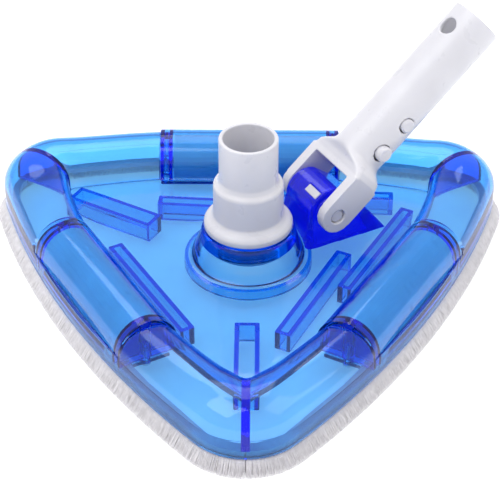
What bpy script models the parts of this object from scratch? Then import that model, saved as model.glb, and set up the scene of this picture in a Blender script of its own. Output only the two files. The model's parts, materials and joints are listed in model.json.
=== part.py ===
"""Manual vacuum head for a pool: a weighted, triangular head with a hinged pole handle and a hose connector.

Metres, +Z up. The floor is Z = 0 and the origin is under the middle of the whole object. The body
repeats itself three times around the hose axis, so most of it is built in side coordinates: n runs
outwards from the hose axis through the middle of a side, and t runs along that side.
"""

import math

import bmesh
import bpy
from mathutils import Matrix, Vector

MM = 0.001
GAP = 0.3 * MM  # kept between touching pieces

SIDES = {"left": 210, "right": -30, "rear": 90}  # direction in degrees that each side faces

# Outline of the moulded body, seen from above: three long arcs joined by three corner arcs.
CORNER_RADIUS = 33.6 * MM
CORNER_CENTRE = 124.4 * MM  # from the hose axis to a corner arc's centre
SIDE_RADIUS = 534.8 * MM
SIDE_HALF_TURN = math.asin(CORNER_CENTRE * math.sin(math.radians(60)) / (SIDE_RADIUS - CORNER_RADIUS))
DECK_SIDE = 75 * MM  # from the hose axis to the middle of the deck's edge
DECK_BEND = 380 * MM  # radius of the deck's edge
DECK_CORNER = 119.7 * MM

# Heights of the moulded body.
WALL = 2.4 * MM
SKIRT_BOTTOM = 8 * MM
DECK_TOP = 16 * MM
ARCH_FOOT = 20 * MM
RIM_RISE = 0.43  # height of the rim's arch over its width
RIB_BOTTOM = 3 * MM

# The straight half-round bulge over each weight.
BULGE_CENTRE = 87.8 * MM
BULGE_RADIUS = 16.8 * MM
BULGE_HALF = 52 * MM

# Neck of the body, hose connector and what holds them together.
BOSS_BASE = 30.3 * MM
BOSS_TOP = 25 * MM
BOSS_HEIGHT = 34 * MM
THROAT = 20.6 * MM
CONNECTOR_TOP = 90.2 * MM
CONNECTOR_STEP = 62 * MM
HOSE_SMALL = 31.75 / 2 * MM
HOSE_LARGE = 38.1 / 2 * MM

# Brush.
BRUSH_FLARE = 5 * MM

# Handle and the lug that it turns on. The hinge axis runs across the 30 degree direction.
HANDLE_TOWARDS = math.radians(30)
HANDLE_TILT = math.radians(40)
PIN_OUT = 43.8 * MM
PIN_HEIGHT = 37.5 * MM
PIN_RADIUS = 4 * MM
LEG_INNER = 16 * MM
LEG_OUTER = 22 * MM
LEG_HALF = 10 * MM
YOKE_START = 19.5 * MM
YOKE_END = 25.5 * MM
TUBE_START = 33 * MM
TUBE_END = 130.7 * MM
TUBE_RADIUS = 14.75 * MM
TUBE_BORE = 12.25 * MM
LUG_HALF = 13 * MM
LUG_HEAD = 12.5 * MM
LUG_TIP = 78 * MM
LUG_NEAR = 26.8 * MM
KEY_LENGTH = 10.8 * MM
KEY_WIDTH = 4.2 * MM
KEY_MIDDLE = -6.3 * MM  # along the pin, from the lug's middle towards the front
KEY_ANGLE = math.radians(125)  # around the pin, from the way that the handle leans
CLIP_BEND = 86 * MM

MATERIALS = {
    "clear_blue": ((0.10, 0.33, 0.85, 1.0), 0.12, 0.0),
    "deep_blue": ((0.02, 0.03, 0.55, 1.0), 0.15, 0.0),
    "white_plastic": ((0.85, 0.85, 0.90, 1.0), 0.35, 0.0),
    "bristle": ((0.80, 0.74, 0.78, 1.0), 0.6, 0.0),
    "weight_metal": ((0.55, 0.60, 0.66, 1.0), 0.45, 0.8),
    "stainless": ((0.60, 0.60, 0.62, 1.0), 0.3, 1.0),
    "seal_rubber": ((0.04, 0.04, 0.05, 1.0), 0.7, 0.0),
}


def clear_scene():
    for obj in list(bpy.data.objects):
        bpy.data.objects.remove(obj, do_unlink=True)


def new_collection(name, hidden=False):
    collection = bpy.data.collections.new(name)
    collection.hide_render = hidden
    bpy.context.scene.collection.children.link(collection)
    return collection


def material(slot, node):
    colour, roughness, metallic = MATERIALS[slot]
    made = bpy.data.materials.new(f"{slot}_{node}")
    made.diffuse_color = colour
    made.use_nodes = True
    shader = made.node_tree.nodes["Principled BSDF"]
    shader.inputs["Base Color"].default_value = colour
    shader.inputs["Roughness"].default_value = roughness
    shader.inputs["Metallic"].default_value = metallic
    return made


def empty(name, location, parent=None, rotation=(0, 0, 0)):
    made = bpy.data.objects.new(name, None)
    made.empty_display_size = 0.02
    made.location = location
    made.rotation_euler = rotation
    made.parent = parent
    parts.objects.link(made)
    return made


def node(name, mesh, slot, parent, location=(0, 0, 0), rotation=(0, 0, 0)):
    """A visible piece, with its own material."""
    made = bpy.data.objects.new(name, mesh)
    made.location = location
    made.rotation_euler = rotation
    made.parent = parent
    mesh.materials.append(material(slot, name))
    parts.objects.link(made)
    return made


def helper(name, mesh, parent, location=(0, 0, 0), rotation=(0, 0, 0)):
    """A shape that a Boolean joins to a piece, or cuts from it."""
    made = bpy.data.objects.new(name, mesh)
    made.location = location
    made.rotation_euler = rotation
    made.parent = parent
    made.hide_render = True
    made.display_type = "WIRE"
    cutters.objects.link(made)
    return made


def boolean(obj, other, operation):
    modifier = obj.modifiers.new(other.name, "BOOLEAN")
    modifier.operation = operation
    modifier.solver = "EXACT"
    modifier.object = other


def mesh_of(name, build):
    """A mesh made by build(bm), with its faces turned outwards."""
    bm = bmesh.new()
    build(bm)
    bmesh.ops.recalc_face_normals(bm, faces=bm.faces)
    mesh = bpy.data.meshes.new(name)
    bm.to_mesh(mesh)
    bm.free()
    return mesh


def box(name, size, centre=(0, 0, 0)):
    place = Matrix.Translation(centre) @ Matrix.Diagonal((*size, 1))
    return mesh_of(name, lambda bm: bmesh.ops.create_cube(bm, size=1, matrix=place))


def rod(name, radius, start, end, axis="Z", segments=32):
    """A cylinder from start to end along one axis."""
    turn = {"X": Matrix.Rotation(math.pi / 2, 4, "Y"), "Y": Matrix.Rotation(-math.pi / 2, 4, "X"),
            "Z": Matrix.Identity(4)}[axis]
    place = turn @ Matrix.Translation((0, 0, (start + end) / 2))
    return mesh_of(name, lambda bm: bmesh.ops.create_cone(
        bm, cap_ends=True, segments=segments, radius1=radius, radius2=radius,
        depth=abs(end - start), matrix=place))


def prism(name, outline, thickness):
    """A flat outline in the XY plane, given half its thickness either way along Z."""
    def build(bm):
        low = [bm.verts.new((x, y, -thickness / 2)) for x, y in outline]
        face = bm.faces.new(low)
        grown = bmesh.ops.extrude_face_region(bm, geom=[face])["geom"]
        top = [item for item in grown if isinstance(item, bmesh.types.BMVert)]
        bmesh.ops.translate(bm, verts=top, vec=(0, 0, thickness))
    return mesh_of(name, build)


def turned(name, profile, slot, parent, steps=48, location=(0, 0, 0), rotation=(0, 0, 0)):
    """A profile of (radius, height) points, down its outer side first, turned around the piece's own Z.

    It is joined end to end, unless it starts on the axis.
    """
    mesh = bpy.data.meshes.new(name)
    count = len(profile)
    edges = [(i, (i + 1) % count) for i in range(count if profile[0][0] > 0 else count - 1)]
    mesh.from_pydata([(r, 0, z) for r, z in profile], edges, [])
    made = node(name, mesh, slot, parent, location, rotation)
    screw = made.modifiers.new("turn", "SCREW")
    screw.steps = screw.render_steps = steps
    screw.use_merge_vertices = True
    screw.merge_threshold = 0.00001
    return made


def arc(centre, radius, start, end, count):
    """Points on a circle from one angle to another, in degrees."""
    angles = [math.radians(start + (end - start) * i / count) for i in range(count + 1)]
    return [(centre[0] + radius * math.cos(a), centre[1] + radius * math.sin(a)) for a in angles]


def loft(name, rings, closed):
    """A skin over a row of closed rings with the same number of points. closed joins last to first."""
    count = len(rings[0])

    def build(bm):
        made = [[bm.verts.new(point) for point in ring] for ring in rings]
        last = len(made) if closed else len(made) - 1
        for i in range(last):
            one, two = made[i], made[(i + 1) % len(made)]
            for k in range(count):
                bm.faces.new((one[k], one[(k + 1) % count], two[(k + 1) % count], two[k]))
        if not closed:
            bm.faces.new(made[0])
            bm.faces.new(reversed(made[-1]))
        bmesh.ops.triangulate(bm, faces=bm.faces)
    return mesh_of(name, build)


def side_point(facing, n, t):
    """World X and Y, from the hose axis, of side coordinates."""
    a = math.radians(facing)
    return Vector((n * math.cos(a) - t * math.sin(a), n * math.sin(a) + t * math.cos(a)))


def side_arc_centre():
    return CORNER_CENTRE / 2 - (SIDE_RADIUS - CORNER_RADIUS) * math.cos(SIDE_HALF_TURN)


def outline_hit(n, t, angle):
    """Where a ray from (n, t) meets the outline of its side, and the outline's own direction there."""
    along = Vector((math.cos(angle), math.sin(angle)))
    for centre, radius in ((Vector((side_arc_centre(), 0)), SIDE_RADIUS),
                           (CORNER_CENTRE * Vector((0.5, math.sqrt(0.75))), CORNER_RADIUS)):
        start = Vector((n, t)) - centre
        b = start.dot(along)
        hit = start + along * (math.sqrt(b * b - start.dot(start) + radius * radius) - b)
        if hit.angle(Vector((1, 0))) < SIDE_HALF_TURN:
            break
    return centre + hit


def deck_edge(t):
    return DECK_SIDE - t * t / (2 * DECK_BEND)


def bulge_section(t):
    """Foot points and arch of the straight bulge: inner foot, outline, arch's outer foot, rise."""
    inner = Vector((BULGE_CENTRE - BULGE_RADIUS, t))
    outline = outline_hit(inner.x, abs(t), 0)
    outline.y = t
    return inner, outline, BULGE_CENTRE + BULGE_RADIUS - inner.x, BULGE_RADIUS


def rim_section(step):
    """The same for the rim, from 0 at the bulge's end to 1 at the corner."""
    corner = Vector((0.5, math.sqrt(0.75)))
    if step == 1:
        inner = corner * DECK_CORNER
        outline = corner * (CORNER_CENTRE + CORNER_RADIUS)
    else:
        t = BULGE_HALF + 0.4 * MM + 50.6 * MM * step
        inner = Vector((deck_edge(t), t))
        outline = outline_hit(inner.x, t, math.radians(60) * step ** 3)
    width = (outline - inner).length
    return inner, outline, width, RIM_RISE * width


def shell_ring(facing, section, hollow):
    """One closed wall section of the body, from the skirt over the arch and deck to the throat."""
    inner, outline, width, rise = section
    out = (outline - inner).normalized()
    hollow_inner, _, hollow_width, hollow_rise = hollow
    arch = 10

    def at(base, distance, z):
        p = base + out * distance
        p = side_point(facing, p.x, p.y)
        return (p.x, p.y, z)

    reach = (outline - inner).length
    ring = [at(inner, reach, SKIRT_BOTTOM), at(inner, reach, ARCH_FOOT - 0.4 * MM)]
    for i in range(arch + 1):
        a = math.pi * i / arch
        ring.append(at(inner, width / 2 * (1 + math.cos(a)), ARCH_FOOT + rise * math.sin(a)))
    ring.append(at(inner, 0, DECK_TOP))
    heading = side_point(facing, inner.x, inner.y).normalized()

    def neck(radius, z):
        return (heading.x * radius, heading.y * radius, z)

    ring += [neck(BOSS_BASE + 3 * MM, DECK_TOP), neck(BOSS_BASE, DECK_TOP + 1.5 * MM),
             neck(BOSS_BASE - 2.6 * MM, DECK_TOP + 8 * MM), neck(BOSS_TOP, BOSS_HEIGHT),
             neck(THROAT, BOSS_HEIGHT), neck(THROAT, BOSS_HEIGHT - 8 * MM),
             neck(BOSS_BASE - 5.6 * MM, BOSS_HEIGHT - 8 * MM),
             neck(BOSS_BASE - 2 * MM, DECK_TOP - WALL),
             at(inner, WALL, DECK_TOP - WALL)]
    for i in range(arch + 1):
        a = math.pi * (1 - i / arch)
        ring.append(at(inner, hollow_width / 2 + (hollow_width / 2 - WALL) * math.cos(a),
                       ARCH_FOOT + (hollow_rise - WALL) * math.sin(a)))
    ring += [at(inner, reach - WALL, ARCH_FOOT - WALL), at(inner, reach - WALL, SKIRT_BOTTOM)]
    return ring


def shell_stations(facing):
    rim_steps = (0, 0.08, 0.2, 0.35, 0.5, 0.62, 0.72, 0.8, 0.87, 0.93)
    mirrored = [rim_section(step) for step in reversed(rim_steps)]
    for inner, outline, _, _ in mirrored:
        inner.y, outline.y = -inner.y, -outline.y
    stations = [(section, section) for section in mirrored]
    for t in (-52, -49.6, -40, -29, -18, -6, 6, 18, 29, 40, 49.6, 52):
        section = bulge_section(t * MM)
        hollow = section if abs(t) < 50 else rim_section(0)
        stations.append((section, hollow))
    stations += [(rim_section(step), rim_section(step)) for step in (*rim_steps, 1)]
    return [shell_ring(facing, section, hollow) for section, hollow in stations]


def body_shell(parent):
    rings = [ring for facing in (-30, 90, 210) for ring in shell_stations(facing)]
    shell = node("body_shell", loft("body_shell", rings, closed=True), "clear_blue", parent)
    ribs, rooms = deck_ribs(parent)
    for rib in (*ribs, *corner_gussets(parent), *weight_walls(parent), throat_ring(parent)):
        boolean(shell, rib, "UNION")
    for room in rooms:
        boolean(shell, room, "DIFFERENCE")


def bar(name, facing, start, end, width, low, high, parent):
    """An upright block between two points in side coordinates."""
    a, b = side_point(facing, *start) * MM, side_point(facing, *end) * MM
    middle = (a + b) / 2
    return helper(name, box(name, ((b - a).length, width * MM, high - low)), parent,
                  (middle.x, middle.y, (low + high) / 2), (0, 0, math.atan2(b.y - a.y, b.x - a.x)))


def deck_ribs(parent):
    """Channels under the deck, open below: their outsides, and the room inside each."""
    places = [("left_middle", 210, (60.5, -43), (60.5, 43), 8.5)]
    for side, facing, sign in (("right", -30, 1), ("rear", 90, -1)):
        places.append((f"{side}_inner", facing, (45, 28 * sign), (51, -52 * sign), 9))
        places.append((f"{side}_outer", facing, (60, -1 * sign), (56.5, 83 * sign), 8))
    for corner in (-90, 150):
        places.append((f"corner_{corner % 360}", corner, (61, 0), (116, 0), 13))
    ribs, rooms = [], []
    for tag, facing, start, end, width in places:
        ribs.append(bar(f"rib_{tag}", facing, start, end, width,
                        RIB_BOTTOM, DECK_TOP - 0.6 * MM, parent))
        inwards = (Vector(end) - Vector(start)).normalized() * WALL / MM
        rooms.append(bar(f"rib_room_{tag}", facing, Vector(start) + inwards, Vector(end) - inwards,
                         width - 2 * WALL / MM, RIB_BOTTOM - 1 * MM, DECK_TOP - WALL, parent))
    return ribs, rooms


def half_round(radius, rise, foot):
    """The outline of a wall that fills an arch, in its own plane."""
    arch = [(x * radius, y * rise) for x, y in arc((0, 0), 1, 0, 180, 16)]
    return [(radius, -foot), *arch, (-radius, -foot)]


def standing(name, outline, thickness, facing, n, t, parent):
    """A wall that stands across side coordinates' t, at (n, t)."""
    place = side_point(facing, n, t)
    return helper(name, prism(name, outline, thickness), parent, (place.x, place.y, ARCH_FOOT),
                  (math.pi / 2, 0, math.radians(facing)))


def corner_gussets(parent):
    outline = half_round(17.6 * MM, 15.2 * MM, 8 * MM)
    return [standing(f"gusset_{corner}", outline, 4.2 * MM, corner, 138.9 * MM, 0, parent)
            for corner in (30, 150, 270)]


def weight_walls(parent):
    """At each end of a bulge: its end wall, a locating rib, and the screw boss between them."""
    outline = half_round(15.4 * MM, 15.4 * MM, 7 * MM)
    made = []
    for side, facing in SIDES.items():
        for end in (-1, 1):
            tag = f"{side}_{end}"
            for part, t, thickness in (("end", 50.8, 2), ("rib", 45.8, 2)):
                made.append(standing(f"wall_{part}_{tag}", outline, thickness * MM, facing,
                                     BULGE_CENTRE, t * end * MM, parent))
            place = side_point(facing, BULGE_CENTRE, 48.3 * end * MM)
            boss = rod(f"boss_{tag}", 3.2 * MM, 12 * MM, 35 * MM, segments=16)
            made.append(helper(f"boss_{tag}", boss, parent, (place.x, place.y, 0)))
    return made


def throat_ring(parent):
    """A round wall under the deck that leads the water to the throat."""
    def build(bm):
        for z in (8 * MM, DECK_TOP - 0.8 * MM):
            rows = [[bm.verts.new((x, y, z)) for x, y in arc((0, 0), r, 0, 354, 59)]
                    for r in (32.6 * MM, 34.8 * MM)]
            for k in range(60):
                bm.faces.new((rows[0][k], rows[0][(k + 1) % 60], rows[1][(k + 1) % 60], rows[1][k]))
        bm.verts.ensure_lookup_table()
        for offset in (0, 60):
            for k in range(60):
                a, b = offset + k, offset + (k + 1) % 60
                bm.faces.new([bm.verts[i] for i in (a, b, b + 120, a + 120)])
    return helper("throat_ring", mesh_of("throat_ring", build), parent)


def weights(parent):
    for side, facing in SIDES.items():
        outline = half_round(13.4 * MM, 13.4 * MM, 8.4 * MM)
        place = side_point(facing, BULGE_CENTRE, 0)
        node(f"weight_{side}", prism(f"weight_{side}", outline, 88 * MM), "weight_metal", parent,
             (place.x, place.y, ARCH_FOOT), (math.pi / 2, 0, math.radians(facing)))


def weight_covers(parent):
    """A plate under each weight, and the two screws that hold it to the bosses beside the weight."""
    bottom, thickness = 8.8 * MM, 2.4 * MM
    for side, facing in SIDES.items():
        turn = (0, 0, math.radians(facing))
        plate = box(f"weight_cover_{side}", (22 * MM, 103 * MM, thickness))
        place = side_point(facing, BULGE_CENTRE - 2.4 * MM, 0)
        cover = node(f"weight_cover_{side}", plate, "clear_blue", parent,
                     (place.x, place.y, bottom + thickness / 2), turn)
        bevel = cover.modifiers.new("edge", "BEVEL")
        bevel.width = 0.5 * MM
        bevel.segments = 1
        for number, end in enumerate((-1, 1), 1):
            place = side_point(facing, BULGE_CENTRE, 48.3 * end * MM)
            hole = rod(f"hole_{side}_{number}", 1.9 * MM, 6 * MM, 13 * MM, segments=16)
            boolean(cover, helper(hole.name, hole, parent, (place.x, place.y, 0)), "DIFFERENCE")
            pilot = rod(f"pilot_{side}_{number}", 1.7 * MM, 6 * MM, 22 * MM, segments=16)
            boolean(bpy.data.objects["body_shell"],
                    helper(pilot.name, pilot, parent, (place.x, place.y, 0)), "DIFFERENCE")
            head = 8.4 * MM
            profile = [(0, 20 * MM), (1.3 * MM, 19 * MM), (1.3 * MM, head), (3.1 * MM, head),
                       (3.1 * MM, head - 1 * MM), (2.2 * MM, head - 2 * MM), (0, head - 2 * MM)]
            turned(f"cover_screw_{side}_{number}", profile, "stainless", parent, 16,
                   (place.x, place.y, 0))


def strip_ring(facing, t, section):
    """A section of (distance outside the outline, height) points at one place along a side."""
    corner = Vector((0.5, math.sqrt(0.75)))
    side_centre = Vector((side_arc_centre(), 0))
    seam = 0.5 * MM
    if abs(t) <= 1:
        angle = SIDE_HALF_TURN * t
        centre, radius = side_centre, SIDE_RADIUS
    else:
        reach = math.radians(60) - seam / CORNER_RADIUS - SIDE_HALF_TURN
        angle = math.copysign(SIDE_HALF_TURN + reach * (abs(t) - 1), t)
        centre = CORNER_CENTRE * Vector((corner.x, math.copysign(corner.y, t)))
        radius = CORNER_RADIUS
    ring = []
    for distance, z in section:
        p = centre + (radius + distance) * Vector((math.cos(angle), math.sin(angle)))
        p = side_point(facing, p.x, p.y)
        ring.append((p.x, p.y, z))
    return ring


def brushes(parent):
    """A holder strip inside the skirt and the bristles set in it, in one length for each side."""
    holder = [(-3.3, 8), (-3.3, 11.2), (-7.9, 11.2), (-7.9, 8)]
    bristle = [(-0.4, 7.6), (-7.5, 7.6), (-2.6, 0), (5, 0)]
    stops = [-2, -1.75, -1.5, -1.25, -1, -0.6, -0.3, 0, 0.3, 0.6, 1, 1.25, 1.5, 1.75, 2]
    for side, facing in SIDES.items():
        for name, section, slot in ((f"brush_holder_{side}", holder, "white_plastic"),
                                    (f"bristles_{side}", bristle, "bristle")):
            section = [(distance * MM, z * MM) for distance, z in section]
            rings = [strip_ring(facing, t, section) for t in stops]
            node(name, loft(name, rings, closed=False), slot, parent)


def connector(parent):
    """Stepped hose connector, the ring that keeps it in the neck, and its seal."""
    flange, spigot = 24.2 * MM, 20.1 * MM
    base = BOSS_HEIGHT + 0.7 * MM
    bore, wide_bore = 13.6 * MM, 16.6 * MM
    profile = [
        (HOSE_SMALL - 0.6 * MM, CONNECTOR_TOP), (HOSE_SMALL, CONNECTOR_TOP - 0.8 * MM),
        (HOSE_SMALL, CONNECTOR_STEP + 4 * MM), (HOSE_SMALL + 0.6 * MM, CONNECTOR_STEP + 1.4 * MM),
        (HOSE_LARGE - 0.9 * MM, CONNECTOR_STEP), (HOSE_LARGE, CONNECTOR_STEP - 1.4 * MM),
        (HOSE_LARGE, base + 8.5 * MM), (HOSE_LARGE + 1.5 * MM, base + 6.6 * MM),
        (flange - 1.8 * MM, base + 5.4 * MM), (flange - 0.4 * MM, base + 3.8 * MM),
        (flange, base + 1.2 * MM), (flange - 0.6 * MM, base),
        (spigot, base), (spigot, 31.4 * MM), (18.6 * MM, 31.4 * MM), (18.6 * MM, 29 * MM),
        (spigot, 29 * MM), (spigot, 25.4 * MM), (18.5 * MM, 25.4 * MM), (18.5 * MM, 23.4 * MM),
        (spigot, 23.4 * MM), (spigot - 0.6 * MM, 20 * MM), (wide_bore, 20 * MM),
        (wide_bore, CONNECTOR_STEP - 5 * MM), (bore, CONNECTOR_STEP), (bore, CONNECTOR_TOP)]
    turned("hose_connector", profile, "white_plastic", parent)
    turned("connector_retainer", [(23 * MM, 25.1 * MM), (23 * MM, 23.7 * MM), (18.9 * MM, 23.7 * MM),
                                  (18.9 * MM, 25.1 * MM)], "white_plastic", parent)
    seal = arc((19.55 * MM, 30.2 * MM), 0.65 * MM, 0, -315, 7)
    turned("connector_seal", seal, "seal_rubber", parent, 40)


def lug_shapes(name, inset, bottom):
    """The hump that carries the hinge: a head with flat cheeks around the pin, and a foot that flares.

    Its back falls from a shoulder, which the fork's yoke passes, to the tip. The foot
    narrows to the cheeks' width at the height where the fork's legs start.
    """
    head = LUG_HEAD - inset
    near, tip = LUG_NEAR + 3.2 * inset, LUG_TIP - 3 * inset
    top = Vector((PIN_OUT + 17.2 * MM, PIN_HEIGHT + 2 * MM)) - Vector((1, 1)) * inset
    outline = [(near, bottom + GAP), *arc((PIN_OUT, PIN_HEIGHT), head, 180, 65, 11), top,
               (tip - GAP, bottom + GAP)]
    cheeks = [[(u, half, z) for u, z in outline] for half in (inset - LUG_HALF, LUG_HALF - inset)]

    waist = PIN_HEIGHT - LUG_HEAD + 2 * MM
    slope = top.lerp(Vector((tip, bottom)), (top.y - waist) / (top.y - bottom))
    foot = []
    for z, ends in ((bottom, ((near - GAP, 16 * MM), (tip + GAP, 17.6 * MM))),
                    (waist, ((near + 3 * MM, LUG_HALF - GAP), (slope.x + GAP, LUG_HALF - GAP)))):
        (u1, w1), (u2, w2) = ends
        w1, w2 = w1 - inset, w2 - inset
        foot.append([(u1, -w1, z), (u2, -w2, z), (u2, w2, z), (u1, w1, z)])
    return loft(f"{name}_cheeks", cheeks, closed=False), loft(f"{name}_foot", foot, closed=False)


def key_block(name, grow, low, high):
    """The room of the pin's key, or the key itself, where the lug's head faces back and up."""
    middle = (low + high) / 2
    block = box(name, (high - low, KEY_LENGTH + 2 * grow, KEY_WIDTH + 2 * grow),
                (middle, KEY_MIDDLE, 0))
    block.transform(Matrix.Rotation(-KEY_ANGLE, 4, "Y"))
    return block


def pivot_lug(parent):
    """Hollow under its skin, open below, with raised pads and a hole through both cheeks for the pin."""
    bottom = DECK_TOP + GAP
    place = (PIN_OUT, 0, PIN_HEIGHT)
    cheeks, foot = lug_shapes("lug", 0, bottom)
    lug = node("pivot_lug", cheeks, "deep_blue", parent)
    boolean(lug, helper("lug_foot", foot, parent), "UNION")
    neck = [[(x, y, z) for x, y in arc((0, 0), radius + 2 * GAP, 0, 354, 59)] for radius, z in (
        (BOSS_BASE + 3 * MM, bottom - 5 * MM), (BOSS_BASE + 3 * MM, DECK_TOP),
        (BOSS_BASE, DECK_TOP + 1.5 * MM), (BOSS_BASE - 2.6 * MM, DECK_TOP + 8 * MM),
        (BOSS_TOP, BOSS_HEIGHT), (BOSS_TOP, CONNECTOR_STEP))]
    boolean(lug, helper("lug_neck", loft("lug_neck", neck, closed=False), parent), "DIFFERENCE")
    pad = LEG_INNER - GAP
    boolean(lug, helper("lug_pads", rod("lug_pads", 8 * MM, -pad, pad, "Y"), parent, place), "UNION")
    for mesh in lug_shapes("lug_inside", 2.5 * MM, bottom - 5 * MM):
        boolean(lug, helper(mesh.name, mesh, parent), "DIFFERENCE")
    hole = rod("lug_hole", PIN_RADIUS + GAP, -20 * MM, 20 * MM, "Y")
    boolean(lug, helper("lug_hole", hole, parent, place), "DIFFERENCE")
    slot = key_block("key_slot", GAP, 3 * MM, 20 * MM)
    boolean(lug, helper("key_slot", slot, parent, place), "DIFFERENCE")
    for modifier in lug.modifiers:
        modifier.solver = "FAST"  # the exact one loses the foot, whose faces run close to the cheeks'


def hinge_hardware(parent):
    """The plain pin on the hinge axis, and the key that is pushed through the lug into its notch."""
    place = (PIN_OUT, 0, PIN_HEIGHT)
    half, chamfer = LEG_OUTER - 1 * MM, 0.8 * MM
    pin = [(0, half), (PIN_RADIUS - chamfer, half), (PIN_RADIUS, half - chamfer),
           (PIN_RADIUS, chamfer - half), (PIN_RADIUS - chamfer, -half), (0, -half)]
    made = turned("pivot_pin", pin, "white_plastic", parent, 32, place, (math.pi / 2, 0, 0))
    notch = key_block("pin_notch", GAP, 3 * MM, 9 * MM)
    boolean(made, helper("pin_notch", notch, parent, place), "DIFFERENCE")
    key = key_block("pin_key", 0, 3.4 * MM, LUG_HEAD - 0.1 * MM)
    node("pin_key", key, "white_plastic", parent, place)


def handle(pivot):
    """Fork, yoke and pole socket in one piece. X runs along it from the pin, Y across the fork."""
    yoke_box = [(YOKE_START, LEG_OUTER, LEG_HALF), (YOKE_END - 2 * MM, LEG_OUTER, LEG_HALF),
                (YOKE_END, LEG_OUTER - 1.2 * MM, LEG_HALF + 1 * MM)]
    rings = [[(x, y, z) for y, z in rounded(half_y, half_z, 3 * MM)] for x, half_y, half_z in yoke_box]
    for x, radius in ((TUBE_START, TUBE_RADIUS), (TUBE_END - 0.6 * MM, TUBE_RADIUS),
                      (TUBE_END, TUBE_RADIUS - 0.6 * MM)):
        rings.append([(x, y, z) for y, z in rounded(radius, radius, radius)])
    made = node("handle", loft("handle", rings, closed=False), "white_plastic", pivot)
    for side, y in (("front", -1), ("back", 1)):
        outline = [(YOKE_START + 2 * MM, -LEG_HALF), (YOKE_START + 2 * MM, LEG_HALF),
                   *arc((0, 0), LEG_HALF, 90, 270, 16)]
        leg = prism(f"leg_{side}", outline, LEG_OUTER - LEG_INNER)
        boolean(made, helper(leg.name, leg, pivot, (0, y * (LEG_INNER + LEG_OUTER) / 2, 0),
                             (math.pi / 2, 0, 0)), "UNION")
    bore = rod("tube_bore", TUBE_BORE, TUBE_START, TUBE_END + 5 * MM, "X", 40)
    boolean(made, helper("tube_bore", bore, pivot), "DIFFERENCE")
    pin = rod("leg_hole", PIN_RADIUS + GAP, -30 * MM, 30 * MM, "Y")
    boolean(made, helper("leg_hole", pin, pivot), "DIFFERENCE")
    lock = rod("lock_hole", 5 * MM, -30 * MM, 30 * MM, "Z")
    boolean(made, helper("lock_hole", lock, pivot, (117 * MM, 0, 0)), "DIFFERENCE")
    for label, at, radius, swing in (("low", 42, 4.9, 0.7), ("high", 62, 4.4, 0.5)):
        for shift in (-swing, 0):
            hole = rod(f"clip_hole_{label}_{shift < 0}", radius * MM, -30 * MM, 30 * MM, "Y")
            boolean(made, helper(hole.name, hole, pivot, ((at + shift) * MM, 0, 0)), "DIFFERENCE")


def rounded(half_y, half_z, corner):
    """A rounded rectangle of 40 points, or a circle where the corner radius is as large as the sides."""
    points = []
    for number, (y, z) in enumerate(((1, 1), (-1, 1), (-1, -1), (1, -1))):
        centre = (y * (half_y - corner), z * (half_z - corner))
        points += arc(centre, corner, number * 90 + 0.5, number * 90 + 89.5, 9)
    return points


def snap_clip(pivot):
    """Spring clip in the socket: two arms from one bend, each with two buttons through the wall."""
    bend = arc((0, 0), 4 * MM, 90, -90, 10) + arc((0, 0), 3 * MM, -90, 90, 10)
    node("clip_bend", prism("clip_bend", bend, 9 * MM), "stainless", pivot, (CLIP_BEND, 0, 0))
    for side, sign in (("front", -1), ("back", 1)):
        hinge = empty(f"clip_hinge_{side}", (CLIP_BEND, sign * 3.5 * MM, 0), pivot)
        inner = [(-GAP, -0.5), (-19, 5.3), (-48, 5.3)]
        outer = [(-48, 6.3), (-18.6, 6.3), (-GAP, 0.5)]
        outline = [(x * MM if x < -1 else x, y * sign * MM) for x, y in inner + outer]
        node(f"clip_arm_{side}", prism(f"clip_arm_{side}", outline, 9 * MM), "stainless", hinge)
        for label, at, radius, reach in (("low", 42, 4.5, 17.6), ("high", 62, 4, 15.8)):
            start = (3.5 + 6.3) * MM + GAP
            profile = [(0, reach * MM), ((radius - 0.8) * MM, reach * MM),
                       (radius * MM, (reach - 0.8) * MM), (radius * MM, start), (0, start)]
            turned(f"clip_button_{label}_{side}", profile, "white_plastic", hinge, 32,
                   (at * MM - CLIP_BEND, -sign * 3.5 * MM, 0), (-sign * math.pi / 2, 0, 0))


def brush_reach(direction):
    """How far the brush reaches from the hose axis in one direction, +1 or -1 along Y."""
    if direction < 0:
        return CORNER_CENTRE + CORNER_RADIUS + BRUSH_FLARE
    return side_arc_centre() + SIDE_RADIUS + BRUSH_FLARE


clear_scene()
parts = new_collection("manual_vacuum_head")
cutters = new_collection("cutters", hidden=True)

hose_axis = empty("hose_axis", (0, (brush_reach(-1) - brush_reach(1)) / 2, 0))
lug_axis = empty("lug_axis", (0, 0, 0), hose_axis, (0, 0, HANDLE_TOWARDS))
handle_pivot = empty("handle_pivot", (PIN_OUT, 0, PIN_HEIGHT), lug_axis, (0, -HANDLE_TILT, 0))

body_shell(hose_axis)
weights(hose_axis)
weight_covers(hose_axis)
brushes(hose_axis)
connector(hose_axis)
pivot_lug(lug_axis)
hinge_hardware(lug_axis)
handle(handle_pivot)
snap_clip(handle_pivot)
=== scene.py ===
"""Looks of the manual pool vacuum head: clear blue plastic, white moulded plastic, real bristles.

Everything is in metres in the CAD frame. The body repeats itself three times around the hose axis,
so it is built in side coordinates, as the CAD is: n runs outwards through the middle of a side,
and t runs along that side.
"""

import json
import math
import random

import bmesh
import bpy
from mathutils import Matrix, Vector


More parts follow.
